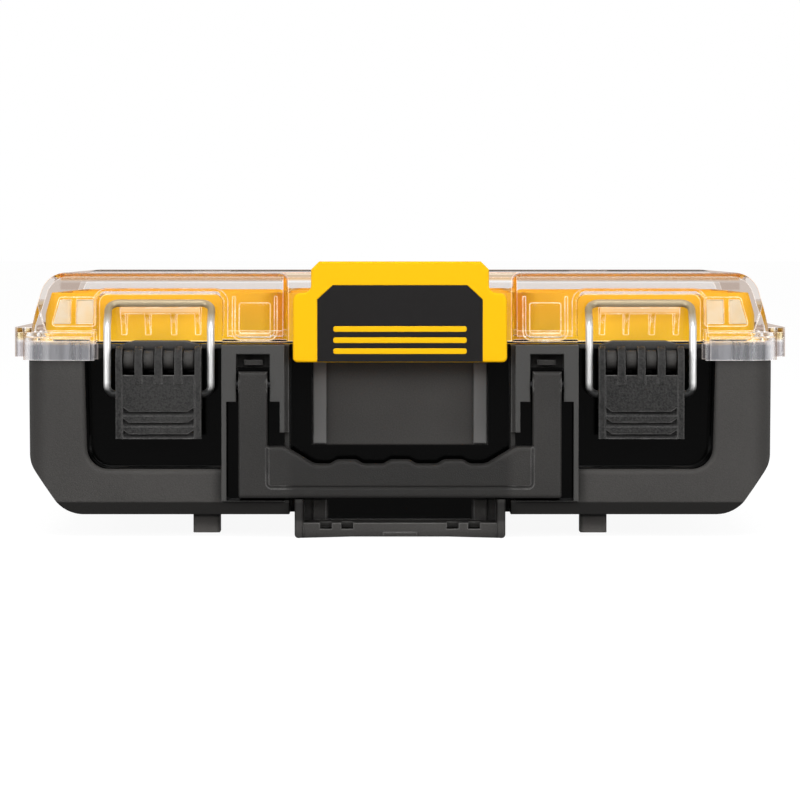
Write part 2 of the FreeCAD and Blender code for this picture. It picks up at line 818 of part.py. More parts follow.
# One cup, fitted to the tub's and the lid's inner shape
def cup(column, row):
    pitch_x = 2 * cup_half_span / cup_columns
    y_front = bay_y + tub_wall + cup_front_gap
    y_back = tub_back_y - tub_wall - cup_back_gap
    pitch_y = (y_back - y_front) / cup_rows
    x_start = -cup_half_span + column * pitch_x + cup_gap / 2
    x_end = x_start + pitch_x - cup_gap
    y_start = y_front + row * pitch_y + cup_gap / 2
    y_end = y_start + pitch_y - cup_gap
    floor_z = tub_bottom_z + tub_wall + cup_lift
    solids = []
    for wall, top in ((0, cup_top_z), (cup_wall, cup_top_z + cut_over)):
        points = [
            (x_start + wall, y_start + wall),
            (x_end - wall, y_start + wall),
            (x_end - wall, y_end - wall),
            (x_start + wall, y_end - wall),
        ]
        shape = prism("xy", points, floor_z + wall, top, [cup_corner - wall] * len(points))
        side_gap = tub_wall + cup_side_gap + wall
        room = tub_form(side_gap, front_y, back_y, floor_z + wall, top + cut_over)
        room = room.common(lid_form(lid_wall + cup_lid_gap + wall, floor_z))
        solids.append(round_edges(shape.common(room), cup_floor_round, edges_at_z(floor_z + wall)))
    return solids[0].cut(solids[1])


# Side view of a lever finger or rail: a barrel round the pin and a straight run down to bottom_z
def lever_profile(x_start, x_end, depth, bottom_z):
    barrel = rod(x_start, x_end, lever_pivot_y, lever_pivot_z, lever_barrel)
    run = block(x_start, x_end, lever_face_y, lever_face_y + depth, bottom_z, lever_pivot_z)
    return barrel.fuse(run)


# Lines cut across the lower plate: deep under the upper edge, running out below
def grip_lines():
    plate_y = lever_face_y + lever_inset
    deep_y = plate_y + grip_line_depth
    lines = []
    for z in grip_line_zs:
        low = z - grip_line_height
        high = z + grip_corner_z
        outline = [(grip_line_half, low), (grip_line_half, high), (grip_line_half - grip_corner_x, z)]
        line = prism("xz", mirrored(outline), plate_y - cut_over, deep_y)
        slope = [
            (plate_y - cut_over, low),
            (plate_y, low),
            (deep_y, z),
            (deep_y, high),
            (plate_y - cut_over, high),
        ]
        lines.append(line.common(prism("yz", slope, -grip_line_half, grip_line_half)))
    return lines


def latch_lever():
    plate_y = lever_face_y + lever_inset
    plate_back_y = lever_face_y + lever_plate
    rail_x = lever_half - rail_width
    pieces = [block(-lever_half, lever_half, plate_y, plate_back_y, lever_bottom_z, lever_window_z)]
    for step in (-1, 0, 1):
        x = step * finger_pitch
        pieces.append(lever_profile(x - finger_half, x + finger_half, lever_plate, finger_bottom_z))
    pieces += both_sides(lever_profile(rail_x, lever_half, rail_depth, rail_bottom_z))
    rail = block(rail_x, lever_half, lever_face_y, plate_back_y, lever_bottom_z, lever_window_z)
    pieces += both_sides(rail)
    lever = round_edges(join(pieces), lever_edge, edges_at_y(lever_face_y))
    cuts = grip_lines()
    pin = lever_pin_radius + running_fit
    reach = lever_half + cut_over
    cuts.append(rod(-reach, reach, lever_pivot_y, lever_pivot_z, pin))
    cuts += both_sides(rod(rail_x - cut_over, reach, lever_pivot_y, bail_pivot_z, wire_radius + running_fit))
    return lever.cut(cuts)


def latch_bail():
    inner_x = lever_half - rail_width + bail_end_gap
    half = [
        Vector(inner_x, lever_pivot_y, bail_pivot_z),
        Vector(bail_half, lever_pivot_y, bail_pivot_z),
        Vector(bail_half, lever_pivot_y, bail_knee_z),
        Vector(bail_half, bail_bar_y, bail_top_z),
    ]
    other = [Vector(-point.x, point.y, point.z) for point in reversed(half)]
    bends = [bail_foot_bend, bail_bend, bail_bend]
    return bent_wire(half + other, bends + bends[::-1], wire_radius)


def handle_outline():
    outer_x = arm_x + arm_width / 2
    inner_x = arm_x - arm_width / 2
    half = [
        (outer_x, handle_bottom_z),
        (outer_x, arm_end_z),
        (inner_x, arm_end_z),
        (inner_x, grip_shoulder_z),
        (grip_shoulder_x, grip_shoulder_z),
        (grip_dip_x, grip_top_z),
    ]
    crown = ridge_half - ridge_slope
    crest_z = grip_top_z + ridge_height
    ridges = [
        (ridge_pitch + ridge_half, grip_top_z),
        (ridge_pitch + crown, crest_z),
        (ridge_pitch - crown, crest_z),
        (ridge_pitch - ridge_half, grip_top_z),
        (ridge_half, grip_top_z),
        (crown, crest_z),
    ]
    radii = [handle_corner, 0, 0, 0, grip_round, grip_round] + [ridge_round] * len(ridges)
    return mirrored(half + ridges), radii + radii[::-1]


def grip_groove():
    half = arm_x - arm_width / 2
    shapes = []
    for grow, overrun in ((groove_width / 2, 0), (-groove_width / 2, cut_over)):
        points = [
            (-half - grow, groove_z - grow),
            (half + grow, groove_z - grow),
            (half + grow, grip_shoulder_z + overrun),
            (-half - grow, grip_shoulder_z + overrun),
        ]
        radii = [groove_round + grow, groove_round + grow, 0, 0]
        y_start = handle_front_y - cut_over - overrun
        shapes.append(prism("xz", points, y_start, handle_front_y + groove_depth + overrun, radii))
    return shapes[0].cut(shapes[1])


def carry_handle():
    points, radii = handle_outline()
    body = prism("xz", points, handle_front_y, handle_back_y, radii)
    x_start = arm_x - arm_width / 2
    x_end = arm_x + arm_width / 2
    arm_head = block(x_start, x_end, handle_front_y, handle_pivot_y, arm_end_z, arm_end_z + handle_thick / 2)
    body = join([body] + both_sides(arm_head))
    body = round_edges(body, handle_edge, edges_at_y(handle_front_y)).cut(grip_groove())
    arm_end = rod(x_start, x_end, handle_pivot_y, arm_end_z, handle_thick / 2)
    body = join([body] + both_sides(arm_end))
    pin = handle_pin_radius + running_fit
    return body.cut(both_sides(rod(x_start - cut_over, x_end + cut_over, handle_pivot_y, arm_end_z, pin)))


def clip_outline():
    half = [
        (clip_half, clip_bottom_z),
        (clip_half, clip_shoulder_z),
        (clip_top_half, clip_shoulder_z),
        (clip_top_half, clip_top_z - clip_chamfer),
        (clip_top_half - clip_chamfer, clip_top_z),
    ]
    radii = [clip_corner, clip_shoulder_round, clip_shoulder_round, 0, 0]
    return mirrored(half), radii + radii[::-1]


def plate_outline(gap, bottom_z):
    half = [
        (plate_half + gap, bottom_z),
        (plate_half + gap, plate_top_z - plate_chamfer_z + gap),
        (plate_half - plate_chamfer_x + gap, plate_top_z + gap),
    ]
    return mirrored(half)


def clip_bars(gap, y_start, y_end):
    bars = []
    for z in bar_zs:
        low = z - bar_height / 2 - gap
        high = z + bar_height / 2 + gap
        points = upright(-bar_half - gap, bar_half + gap, low, high)
        bars.append(prism("xz", points, y_start, y_end, [bar_round + gap] * len(points)))
    return bars


def stack_clip():
    points, radii = clip_outline()
    body = prism("xz", points, front_y, clip_back_y, radii)
    body = round_edges(body, clip_edge, edges_at_y(front_y))
    rooms = []
    for x_start, x_end in ((-clip_ear_x, -clip_rib_x), (-clip_rib_x + clip_rib, clip_rib_x - clip_rib),
                           (clip_rib_x, clip_ear_x)):
        rooms.append(block(x_start, x_end, front_y + plate_thick + clip_shell, clip_back_y + cut_over,
                           clip_bottom_z + clip_shell, clip_top_z - hook_height - clip_shell))
    body = body.cut(rooms)
    hook = [
        (clip_back_y - clip_shell, clip_top_z - clip_shell),
        (clip_back_y - clip_shell, clip_top_z - hook_height),
        (clip_back_y, clip_top_z - hook_height),
        (front_y + hook_reach, clip_top_z - hook_lip),
        (front_y + hook_reach, clip_top_z - clip_shell),
        (clip_back_y, clip_top_z),
        (clip_back_y - clip_shell, clip_top_z),
    ]
    half = clip_top_half - clip_chamfer
    pieces = [body, prism("yz", hook, -half, half)]
    ear = rod(clip_ear_x, clip_ear_x + clip_ear_width, clip_pin_y, clip_pin_z, clip_ear_radius)
    arm = block(clip_ear_x, clip_ear_x + clip_ear_width, clip_back_y - clip_shell, clip_pin_y,
                clip_pin_z - clip_ear_radius, clip_pin_z + clip_ear_radius)
    pieces += both_sides(ear.fuse(arm))
    body = join(pieces)
    seat = prism("xz", plate_outline(plate_gap, clip_bottom_z - cut_over), front_y - cut_over,
                 front_y + plate_thick)
    seat = seat.cut(clip_bars(0, front_y, front_y + plate_thick + cut_over))
    pin = clip_pin_radius + running_fit
    bore = rod(-lug_outer_x, lug_outer_x, clip_pin_y, clip_pin_z, pin)
    return body.cut([seat, bore])


def clip_plate():
    body = prism("xz", plate_outline(0, plate_bottom_z), front_y, front_y + plate_thick)
    return body.cut(clip_bars(plate_gap, front_y - cut_over, front_y + plate_thick + cut_over))


# Bent strip between the recess wall and the clip's back, below the pin
def clip_spring():
    back = bay_y - fixed_fit
    front = clip_back_y + spring_gap
    thick = spring_thick
    points = [
        (back, spring_bottom_z),
        (back, spring_top_z),
        (back - thick, spring_top_z),
        (back - thick, spring_bottom_z + thick),
        (front + thick, spring_top_z - thick),
        (front, spring_top_z - thick),
        (front, spring_top_z - 2 * thick),
        (back - thick, spring_bottom_z),
    ]
    return prism("yz", points, -spring_half, spring_half)


def catch_tray():
    inner_x = tray_half - tray_side
    lip_y = tray_front_y + tray_edge
    wall_y = bay_y - tray_lip_wall
    cheek = [(inner_x, tray_front_y), (tray_half, tray_front_y), (tray_half, bay_y), (inner_x, bay_y)]
    foot = upright(inner_x, tray_half, 0, tray_top_z)
    side = prism("xy", cheek, 0, tray_top_z, [tray_edge, tray_edge, 0, 0])
    side = side.common(prism("xz", foot, tray_front_y, bay_y, [tray_foot_round, tray_foot_round, 0, 0]))
    pieces = both_sides(side)
    half = tray_half - tray_side / 2
    pieces.append(block(-half, half, lip_y, bay_y, tray_lip_z, tray_shelf_z))
    lip = [(half, 0), (half, tray_lip_z)]
    arch = [(inner_x, 0), (inner_x / 2, tray_arch)]
    pieces.append(prism("xz", mirrored(lip[::-1] + arch), lip_y, lip_y + tray_lip_wall))
    pieces.append(block(-tray_tab_half, tray_tab_half, lip_y - tray_tab_reach, lip_y + tray_lip_wall,
                        tray_tab_bottom_z, tray_tab_top_z))
    pieces.append(block(-half, half, wall_y, bay_y, 0, tray_top_z))
    strip = block(strip_x - strip_width / 2, strip_x + strip_width / 2, wall_y - strip_thick, wall_y,
                  tray_lip_z, tray_top_z)
    pieces += both_sides(strip)
    cuts = []
    for x in tray_slot_xs:
        slot = block(x - tray_slot_width / 2, x + tray_slot_width / 2, tray_front_y,
                     tray_front_y + tray_slot_length, tray_lip_z, tray_top_z)
        cuts += both_sides(slot)
    return join(pieces).cut(cuts)


def save(name, shape):
    shape.exportStep("parts/" + name + ".step")
    print(name, len(shape.Solids), shape.isValid(), round(shape.Volume))


def save_sides(name, shape, x):
    save("left_" + name, shape.translated(Vector(-x, 0, 0)))
    save("right_" + name, shape.translated(Vector(x, 0, 0)))


def main():
    save("base_tub", base_tub())
    save("catch_tray", catch_tray())
    save("lid_cover", lid_cover())
    save("lid_seal", lid_seal())
    column_names = ["left", "centre", "right"]
    row_names = ["front", "rear"]
    for row in range(cup_rows):
        for column in range(cup_columns):
            save("cup_" + row_names[row] + "_" + column_names[column], cup(column, row))
    save_sides("latch_lever", latch_lever(), latch_x)
    save_sides("latch_bail", latch_bail(), latch_x)
    lever_pin = rod(-lever_half, lever_half, lever_pivot_y, lever_pivot_z, lever_pin_radius)
    save_sides("lever_pin", lever_pin, latch_x)
    save("carry_handle", carry_handle())
    reach = arm_width / 2 + slot_gap + frame_wall / 2
    save_sides("handle_pin", rod(-reach, reach, handle_pivot_y, arm_end_z, handle_pin_radius), arm_x)
    save("stack_clip", stack_clip())
    save("clip_plate", clip_plate())
    save("clip_pin", rod(-lug_outer_x, lug_outer_x, clip_pin_y, clip_pin_z, clip_pin_radius))
    save("clip_spring", clip_spring())
    reach = hinge_lid_width / 2 + hinge_gap + hinge_tub_width
    save_sides("hinge_pin", rod(-reach, reach, hinge_y, hinge_z, hinge_pin_radius), hinge_x)


main()
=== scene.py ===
import json

import bmesh
import bpy
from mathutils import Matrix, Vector


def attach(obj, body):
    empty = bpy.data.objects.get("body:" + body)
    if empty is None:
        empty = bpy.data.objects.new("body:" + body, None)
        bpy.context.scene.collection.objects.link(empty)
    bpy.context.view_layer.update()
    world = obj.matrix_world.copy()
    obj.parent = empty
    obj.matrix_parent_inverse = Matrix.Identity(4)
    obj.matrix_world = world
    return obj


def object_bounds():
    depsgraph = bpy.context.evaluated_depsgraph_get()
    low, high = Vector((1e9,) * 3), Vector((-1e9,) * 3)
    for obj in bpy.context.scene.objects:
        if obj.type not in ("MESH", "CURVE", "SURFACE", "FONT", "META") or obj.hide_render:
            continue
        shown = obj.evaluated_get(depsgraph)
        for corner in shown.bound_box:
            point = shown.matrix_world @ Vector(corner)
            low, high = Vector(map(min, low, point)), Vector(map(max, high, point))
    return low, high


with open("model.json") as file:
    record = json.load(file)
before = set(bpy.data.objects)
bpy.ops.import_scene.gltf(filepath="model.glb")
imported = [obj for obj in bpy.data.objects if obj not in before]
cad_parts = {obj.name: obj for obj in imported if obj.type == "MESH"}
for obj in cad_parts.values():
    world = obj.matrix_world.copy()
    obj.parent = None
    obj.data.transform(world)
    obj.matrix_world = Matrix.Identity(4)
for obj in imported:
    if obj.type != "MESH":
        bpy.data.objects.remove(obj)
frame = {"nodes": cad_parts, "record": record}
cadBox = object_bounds()
nodes = frame["nodes"]
scene = bpy.context.scene
print("frame loaded:", len(nodes), "nodes")


# small helpers for node trees
def addNode(tree, kind, **settings):
    node = tree.nodes.new(kind)
    for name, value in settings.items():
        setattr(node, name, value)
    return node


def join(tree, source, target):
    tree.links.new(source, target)


def newGroup(name, inputs, outputs):
    group = bpy.data.node_groups.new(name, "ShaderNodeTree")
    for label, value in inputs.items():
        socket = group.interface.new_socket(label, in_out="INPUT", socket_type="NodeSocketFloat")
        socket.default_value = value
    for label, kind in outputs.items():
        group.interface.new_socket(label, in_out="OUTPUT", socket_type=kind)
    return group, group.nodes.new("NodeGroupInput"), group.nodes.new("NodeGroupOutput")


def placeGroup(tree, group, **values):
    node = addNode(tree, "ShaderNodeGroup", node_tree=group)
    for label, value in values.items():
        node.inputs[label].default_value = value
    return node


def remap(tree, source, low, high, fromLow=0.0, fromHigh=1.0):
    node = addNode(tree, "ShaderNodeMapRange")
    node.inputs["From Min"].default_value = fromLow
    node.inputs["From Max"].default_value = fromHigh
    node.inputs["To Min"].default_value = low
    node.inputs["To Max"].default_value = high
    join(tree, source, node.inputs["Value"])
    return node.outputs["Result"]


# what goes into a socket is a colour, a number or the output of another node
def feed(tree, value, socket):
    if isinstance(value, tuple):
        socket.default_value = (*value, 1.0)
    elif isinstance(value, float):
        socket.default_value = value
    else:
        join(tree, value, socket)


def colorSocket(sockets, label):
    return [socket for socket in sockets if socket.name == label and socket.type == "RGBA"][0]


def mixColor(tree, factor, first, second):
    node = addNode(tree, "ShaderNodeMix", data_type="RGBA")
    join(tree, factor, node.inputs["Factor"])
    feed(tree, first, colorSocket(node.inputs, "A"))
    feed(tree, second, colorSocket(node.inputs, "B"))
    return colorSocket(node.outputs, "Result")


def mixValue(tree, factor, first, second):
    node = addNode(tree, "ShaderNodeMix", data_type="FLOAT")
    join(tree, factor, node.inputs["Factor"])
    feed(tree, first, node.inputs["A"])
    feed(tree, second, node.inputs["B"])
    return node.outputs["Result"]


def combine(tree, operation, *values, clamp=False):
    whole = values[0]
    for value in values[1:]:
        node = addNode(tree, "ShaderNodeMath", operation=operation, use_clamp=clamp)
        feed(tree, whole, node.inputs[0])
        feed(tree, value, node.inputs[1])
        whole = node.outputs["Value"]
    return whole


# fine spark-eroded mould texture, with a slow drift of tone over the part
grainMake = {"detail": 4.0, "roughness": 0.65, "driftDetail": 3.0, "pitShare": 0.6,
             "speckleRange": (0.36, 0.64)}


def makeMouldGrain():
    group, inside, outside = newGroup(
        "mouldGrain", {"Scale": 1400.0, "Drift": 14.0},
        {"Height": "NodeSocketFloat", "Tone": "NodeSocketFloat", "Speckle": "NodeSocketFloat"})
    place = addNode(group, "ShaderNodeTexCoord")
    grain = addNode(group, "ShaderNodeTexNoise")
    grain.inputs["Detail"].default_value = grainMake["detail"]
    grain.inputs["Roughness"].default_value = grainMake["roughness"]
    pits = addNode(group, "ShaderNodeTexVoronoi", feature="SMOOTH_F1")
    drift = addNode(group, "ShaderNodeTexNoise")
    drift.inputs["Detail"].default_value = grainMake["driftDetail"]
    for texture in (grain, pits, drift):
        join(group, place.outputs["Object"], texture.inputs["Vector"])
    join(group, inside.outputs["Scale"], grain.inputs["Scale"])
    join(group, inside.outputs["Scale"], pits.inputs["Scale"])
    join(group, inside.outputs["Drift"], drift.inputs["Scale"])
    both = addNode(group, "ShaderNodeMath", operation="MULTIPLY_ADD")
    both.inputs[1].default_value = grainMake["pitShare"]
    join(group, pits.outputs["Distance"], both.inputs[0])
    join(group, grain.outputs["Fac"], both.inputs[2])
    join(group, both.outputs["Value"], outside.inputs["Height"])
    join(group, drift.outputs["Fac"], outside.inputs["Tone"])
    speckle = remap(group, grain.outputs["Fac"], 0.0, 1.0, *grainMake["speckleRange"])
    join(group, speckle, outside.inputs["Speckle"])
    return group


# rounded look of sharp edges, and a mask of the edges, broken into patches, where a highlight is painted
highlightMake = {"samples": 6, "turnRange": (0.86, 0.996), "leastHighlight": 0.45, "patchRange": (0.35, 0.65)}


def makeEdgeHighlight():
    group, inside, outside = newGroup(
        "edgeHighlight", {"Radius": 0.0006, "Breakup": 160.0},
        {"Normal": "NodeSocketVector", "Highlight": "NodeSocketFloat"})
    bevel = addNode(group, "ShaderNodeBevel", samples=highlightMake["samples"])
    join(group, inside.outputs["Radius"], bevel.inputs["Radius"])
    surface = addNode(group, "ShaderNodeNewGeometry")
    dot = addNode(group, "ShaderNodeVectorMath", operation="DOT_PRODUCT")
    join(group, bevel.outputs["Normal"], dot.inputs[0])
    join(group, surface.outputs["Normal"], dot.inputs[1])
    highlightMask = remap(group, dot.outputs["Value"], 1.0, 0.0, *highlightMake["turnRange"])
    place = addNode(group, "ShaderNodeTexCoord")
    patches = addNode(group, "ShaderNodeTexNoise")
    join(group, place.outputs["Object"], patches.inputs["Vector"])
    join(group, inside.outputs["Breakup"], patches.inputs["Scale"])
    broken = remap(group, patches.outputs["Fac"], highlightMake["leastHighlight"], 1.0, *highlightMake["patchRange"])
    join(group, bevel.outputs["Normal"], outside.inputs["Normal"])
    join(group, combine(group, "MULTIPLY", highlightMask, broken), outside.inputs["Highlight"])
    return group


# faint smears of handling that change the gloss
smearMake = {"detail": 5.0, "distortion": 0.6, "range": (0.3, 0.7)}


def makeHandling():
    group, inside, outside = newGroup("handling", {"Scale": 26.0}, {"Smear": "NodeSocketFloat"})
    place = addNode(group, "ShaderNodeTexCoord")
    smear = addNode(group, "ShaderNodeTexNoise")
    smear.inputs["Detail"].default_value = smearMake["detail"]
    smear.inputs["Distortion"].default_value = smearMake["distortion"]
    join(group, place.outputs["Object"], smear.inputs["Vector"])
    join(group, inside.outputs["Scale"], smear.inputs["Scale"])
    join(group, remap(group, smear.outputs["Fac"], 0.0, 1.0, *smearMake["range"]), outside.inputs["Smear"])
    return group


# painted shade in grooves and inner corners, where less light gets in
cavityShadeMake = {"samples": 6, "openRange": (0.35, 0.92)}


def makeCavityShade():
    group, inside, outside = newGroup("cavityShade", {"Reach": 0.004}, {"Mask": "NodeSocketFloat"})
    around = addNode(group, "ShaderNodeAmbientOcclusion", samples=cavityShadeMake["samples"])
    join(group, inside.outputs["Reach"], around.inputs["Distance"])
    mask = remap(group, around.outputs["AO"], 1.0, 0.0, *cavityShadeMake["openRange"])
    join(group, mask, outside.inputs["Mask"])
    return group


# soft-edged box in the part's own space, in metres, the same on both sides of the middle
edgeSoft = 0.001
overMiddle = -0.01  # a box that starts here has no seam at the middle


def placeBox(acrossX, alongY, upZ, soft=edgeSoft):
    return {"FromX": acrossX[0], "ToX": acrossX[1], "FromY": alongY[0], "ToY": alongY[1],
            "FromZ": upZ[0], "ToZ": upZ[1], "Soft": soft}


def makeZone():
    everywhere = placeBox((0.0, 1.0), (-1.0, 1.0), (-1.0, 1.0))
    group, inside, outside = newGroup("zone", everywhere, {"Mask": "NodeSocketFloat"})
    place = addNode(group, "ShaderNodeTexCoord")
    axes = addNode(group, "ShaderNodeSeparateXYZ")
    join(group, place.outputs["Object"], axes.inputs["Vector"])
    side = addNode(group, "ShaderNodeMath", operation="ABSOLUTE")
    join(group, axes.outputs["X"], side.inputs[0])
    masks = []
    for axis, value in (("X", side.outputs["Value"]), ("Y", axes.outputs["Y"]), ("Z", axes.outputs["Z"])):
        for first, second in ((value, inside.outputs["From" + axis]), (inside.outputs["To" + axis], value)):
            depth = combine(group, "SUBTRACT", first, second)
            masks.append(combine(group, "DIVIDE", depth, inside.outputs["Soft"], clamp=True))
    join(group, combine(group, "MULTIPLY", *masks), outside.inputs["Mask"])
    return group


mouldGrain = makeMouldGrain()
edgeHighlight = makeEdgeHighlight()
handling = makeHandling()
cavityShade = makeCavityShade()
zone = makeZone()


def zoneMask(tree, boxes):
    masks = [placeGroup(tree, zone, **limits).outputs["Mask"] for limits in boxes]
    return combine(tree, "MAXIMUM", *masks)


def newMaterial(name):
    material = bpy.data.materials.new(name)
    material.use_nodes = True
    tree = material.node_tree
    return material, tree, tree.nodes["Principled BSDF"]


# moulded plastic: grain, a painted highlight along the edges, painted shade in grooves and corners, uneven
# tone and gloss; zones repaint colour and gloss by place, smooth where the mould was polished
toneSwing = 0.3
toneRange = (0.35, 0.65)
grooveShade = (0.002, 0.002, 0.002)


def mouldedPlastic(name, look):
    material, tree, shader = newMaterial(name)
    grain = placeGroup(tree, mouldGrain, Scale=look["grainScale"])
    edge = placeGroup(tree, edgeHighlight, Radius=look["edgeRadius"])
    smear = placeGroup(tree, handling)
    speckle = remap(tree, grain.outputs["Speckle"], 0.5 - look["speckle"], 0.5 + look["speckle"])
    drift = remap(tree, grain.outputs["Tone"], -toneSwing, toneSwing, *toneRange)
    tone = combine(tree, "ADD", drift, speckle, clamp=True)
    color = mixColor(tree, tone, look["dark"], look["color"])
    low, high = look["roughness"]
    roughness = remap(tree, smear.outputs["Smear"], low, high)
    # painted highlight: the edges turn towards the edge colour
    highlightMask = remap(tree, edge.outputs["Highlight"], 0.0, look["highlightShare"])
    color = mixColor(tree, highlightMask, color, look["edge"])
    # painted shade: grooves and inner corners turn near-black
    if look["groove"]:
        depth, reach = look["groove"]
        mask = placeGroup(tree, cavityShade, Reach=reach).outputs["Mask"]
        color = mixColor(tree, remap(tree, mask, 0.0, depth), color, grooveShade)
    height = grain.outputs["Height"]
    # zones repaint colour and gloss by place; some of their colours are painted shade and painted light
    for zoneColor, zoneRoughness, grainShare, boxes in look["zones"]:
        mask = zoneMask(tree, boxes)
        height = combine(tree, "MULTIPLY", height, remap(tree, mask, 1.0, grainShare))
        color = mixColor(tree, mask, color, zoneColor)
        roughness = mixValue(tree, mask, roughness, zoneRoughness)
    join(tree, color, shader.inputs["Base Color"])
    join(tree, roughness, shader.inputs["Roughness"])
    bump = addNode(tree, "ShaderNodeBump")
    bump.inputs["Distance"].default_value = look["grainDepth"]
    join(tree, height, bump.inputs["Height"])
    join(tree, edge.outputs["Normal"], bump.inputs["Normal"])
    join(tree, bump.outputs["Normal"], shader.inputs["Normal"])
    shader.inputs["Specular IOR Level"].default_value = look["shine"]
    return material


# hollows of the tub, polished and painted near-black as shade; strips of the recess and feet of the tub,
# painted lighter as light falling on them; faces of the handle sockets; lower bevel of the tub, painted
# darker as shade
bayDepth = (-0.1262, -0.1036)
shadedHollows = [
    placeBox((0.0832, 0.150), bayDepth, (0.030, 0.0885)),
    placeBox((0.0409, 0.0525), bayDepth, (0.016, 0.091)),
    placeBox((overMiddle, 0.0525), bayDepth, (0.016, 0.0431)),
    placeBox((0.0538, 0.0830), (-0.1322, -0.1036), (0.016, 0.0795), 0.0004),
    placeBox((overMiddle, 0.0345), (-0.1295, -0.1036), (0.0068, 0.0185)),
]
litStrips = [placeBox((0.0346, 0.0410), (-0.112, -0.1055), (0.0428, 0.0815), 0.0003)]
socketFaces = [placeBox((0.0535, 0.0836), (-0.136, -0.1318), (0.0165, 0.0905))]
shadedUnderBevel = [placeBox((overMiddle, 0.186), (-0.140, -0.112), (0.0075, 0.0172))]
litFeet = [placeBox((0.075, 0.105), (-0.136, 0.136), (-0.002, 0.008))]
gripPlace = [placeBox((overMiddle, 0.0535), (-0.140, -0.1036), (0.014, 0.040), 0.004)]
# painted light on the cups: lighter below 90 mm, fading out by 108 mm, just above the tub's rim where light
# comes through the lid's rib
litCupBand = [placeBox((overMiddle, 0.2), (-0.2, 0.2), (0.0, 0.108), 0.018)]
# edge: colour of a painted highlight along the edges, with its share; groove: darkening and reach in metres
# of painted shade in grooves and corners; zones: colour, roughness, share of the grain, places
blackLooks = {
    "tubBlack": {
        "color": (0.066, 0.063, 0.060), "dark": (0.047, 0.045, 0.043),
        "edge": (0.20, 0.195, 0.19), "highlightShare": 0.85,
        "roughness": (0.48, 0.58), "grainScale": 1500.0, "grainDepth": 0.00010, "speckle": 0.3,
        "edgeRadius": 0.0010, "shine": 0.16, "groove": (0.75, 0.005),
        # painted near-black shade in the hollows, painted light on the strips, the socket faces in the tub's
        # own tone, painted shade on the lower bevel, painted light on the feet
        "zones": [((0.0008, 0.0008, 0.0008), 0.10, 0.0, shadedHollows),
                  ((0.17, 0.168, 0.165), 0.5, 1.0, litStrips),
                  ((0.066, 0.065, 0.063), 0.5, 1.0, socketFaces),
                  ((0.026, 0.025, 0.024), 0.5, 1.0, shadedUnderBevel),
                  ((0.2, 0.19, 0.18), 0.5, 1.0, litFeet)]},
    "handleBlack": {
        "color": (0.041, 0.039, 0.037), "dark": (0.026, 0.025, 0.024),
        "edge": (0.22, 0.215, 0.21), "highlightShare": 0.85,
        "roughness": (0.44, 0.54), "grainScale": 1700.0, "grainDepth": 0.00012, "speckle": 0.35,
        "edgeRadius": 0.0010, "shine": 0.2, "groove": (0.8, 0.004),
        "zones": [((0.024, 0.023, 0.022), 0.5, 1.0, gripPlace)]},
    "leverBlack": {
        "color": (0.035, 0.034, 0.033), "dark": (0.005, 0.005, 0.005),
        "edge": (0.24, 0.235, 0.23), "highlightShare": 0.9,
        "roughness": (0.40, 0.52), "grainScale": 1150.0, "grainDepth": 0.00030, "speckle": 0.5,
        "edgeRadius": 0.0009, "shine": 0.25, "groove": (0.95, 0.003), "zones": []},
    "plateBlack": {
        "color": (0.010, 0.009, 0.009), "dark": (0.008, 0.007, 0.007),
        "edge": (0.05, 0.048, 0.04), "highlightShare": 0.5,
        "roughness": (0.42, 0.50), "grainScale": 2400.0, "grainDepth": 0.00002, "speckle": 0.2,
        "edgeRadius": 0.0003, "shine": 0.18, "groove": None, "zones": []},
    "sealBlack": {
        "color": (0.02, 0.02, 0.02), "dark": (0.015, 0.015, 0.015),
        "edge": (0.03, 0.03, 0.03), "highlightShare": 0.3,
        "roughness": (0.7, 0.8), "grainScale": 2000.0, "grainDepth": 0.00002, "speckle": 0.2,
        "edgeRadius": 0.0003, "shine": 0.3, "groove": None, "zones": []},
}
# edge: colour of a painted highlight along the edges, with its share
yellowLooks = {
    "clipYellow": {
        "color": (0.985, 0.530, 0.002), "dark": (0.975, 0.515, 0.002),
        "edge": (1.0, 0.62, 0.03), "highlightShare": 0.5,
        "roughness": (0.40, 0.48), "grainScale": 2200.0, "grainDepth": 0.00002, "speckle": 0.2,
        "edgeRadius": 0.0006, "shine": 0.1, "groove": None, "zones": []},
    "cupYellow": {
        "color": (0.98, 0.47, 0.008), "dark": (0.96, 0.44, 0.007),
        "edge": (1.0, 0.6, 0.04), "highlightShare": 0.4,
        "roughness": (0.40, 0.50), "grainScale": 2200.0, "grainDepth": 0.00002, "speckle": 0.2,
        "edgeRadius": 0.0006, "shine": 0.2, "groove": None,
        # painted light on the cups just above the tub's rim
        "zones": [((0.99, 0.56, 0.009), 0.45, 1.0, litCupBand)]},
}


# clear lid: light passes straight through it to the cups, the eye sees it refract, plain along its outlines;
# reflections of the cups are painted into its tint, and light is painted on it as a glow
flangeDepth = (-0.068, 0.112)
frontWall = (-0.125, -0.1)
